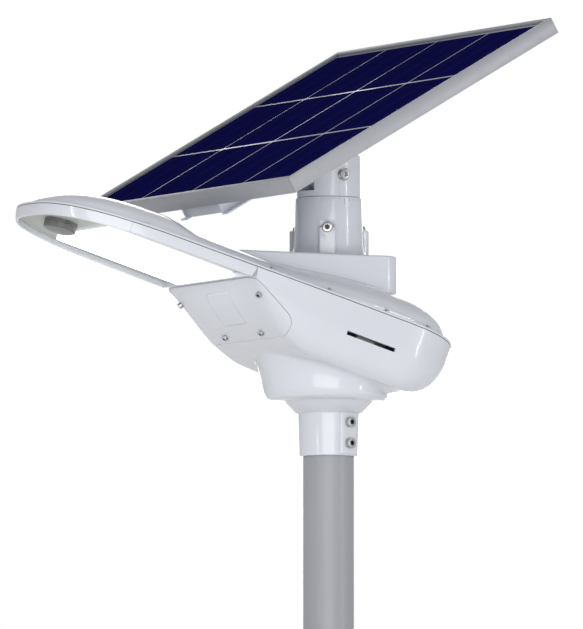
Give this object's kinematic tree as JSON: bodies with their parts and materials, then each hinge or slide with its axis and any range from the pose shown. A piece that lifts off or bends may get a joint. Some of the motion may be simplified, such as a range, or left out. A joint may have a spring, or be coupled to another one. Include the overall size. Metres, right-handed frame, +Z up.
{
  "type": "solar street lamp",
  "caption": "Pole-top solar street lamp: a slim glossy light head on a clamped pole sleeve, with a turning turret that carries a tilting framed solar panel.",
  "frame": {"origin": "centre of the lower, cut end of the pole section, on the pole's axis", "axes": "+Z up along the pole, -Y towards the nose of the light head, +X towards the head's right-hand side seen from behind, across the panel"},
  "size_m": [0.67, 0.7115, 0.9387],
  "materials": {
    "white_casting": "white gloss powder coat on cast aluminium",
    "white_channel": "white satin powder coat on folded aluminium channel",
    "anodised_frame": "satin",
    "stainless_screws": "satin",
    "pole_paint": "satin",
    "gasket_rubber": "matte",
    "diffuser_plate": "satin",
    "led_board": "matte",
    "light_window": "frosted",
    "bare_aluminium": "satin",
    "sensor_housing": "satin",
    "sensor_lens": "satin",
    "battery_wrap": "gloss",
    "black_plastic": "matte",
    "solar_glass": "gloss"
  },
  "bodies": {
    "lamp": {"lower_housing": "white_casting", "battery_cover": "white_casting", "upper_cover": "white_casting", "bezel_nose": "white_casting", "bezel_frame": "white_casting", "turret_base": "white_casting", "flange_screw_1": "stainless_screws", "flange_screw_2": "stainless_screws", "flange_screw_3": "stainless_screws", "flange_screw_4": "stainless_screws", "flange_screw_5": "stainless_screws", "flange_screw_6": "stainless_screws", "flange_screw_7": "stainless_screws", "flange_screw_8": "stainless_screws", "cover_screw_upper_near": "stainless_screws", "cover_screw_upper_far": "stainless_screws", "cover_screw_lower_near": "stainless_screws", "cover_screw_lower_far": "stainless_screws", "sleeve_bolt_near_1": "stainless_screws", "sleeve_bolt_near_2": "stainless_screws", "sleeve_bolt_far_1": "stainless_screws", "sleeve_bolt_far_2": "stainless_screws", "turret_screw_1": "stainless_screws", "turret_screw_2": "stainless_screws", "turret_screw_3": "stainless_screws", "pole_top": "pole_paint", "housing_gasket": "gasket_rubber", "light_plate": "diffuser_plate", "led_board": "led_board", "led_lens": "light_window", "heat_sink": "bare_aluminium", "sensor_base": "sensor_housing", "sensor_lens": "sensor_lens", "battery_pack": "battery_wrap", "battery_bracket": "bare_aluminium", "charge_controller": "black_plastic", "slot_latch_near": "bare_aluminium", "slot_latch_far": "bare_aluminium"},
    "turret": {"turret_head": "white_casting", "turret_ring": "bare_aluminium"},
    "panel": {"hinge_knuckle": "white_casting", "tilt_bolt": "stainless_screws", "tilt_nut": "stainless_screws", "panel_arm_near": "white_channel", "panel_arm_far": "white_channel", "cross_rail_low": "white_channel", "cross_rail_high": "white_channel", "arm_bolt_1": "stainless_screws", "arm_bolt_2": "stainless_screws", "arm_bolt_3": "stainless_screws", "arm_bolt_4": "stainless_screws", "frame_rail_near": "anodised_frame", "frame_rail_far": "anodised_frame", "frame_rail_high": "anodised_frame", "frame_rail_low": "anodised_frame", "panel_laminate": "solar_glass", "junction_box": "black_plastic"}
  },
  "joints": [
    {"name": "panel_azimuth", "type": "hinge", "parent": "lamp", "child": "turret", "pos_m": [0, 0, 0.686], "axis": [0, 0, 1], "range_deg": [-35, 35]},
    {"name": "panel_tilt", "type": "hinge", "parent": "turret", "child": "panel", "pos_m": [0, 0, 0.7189], "axis": [1, 0, 0], "range_deg": [-30, 0]}
  ]
}
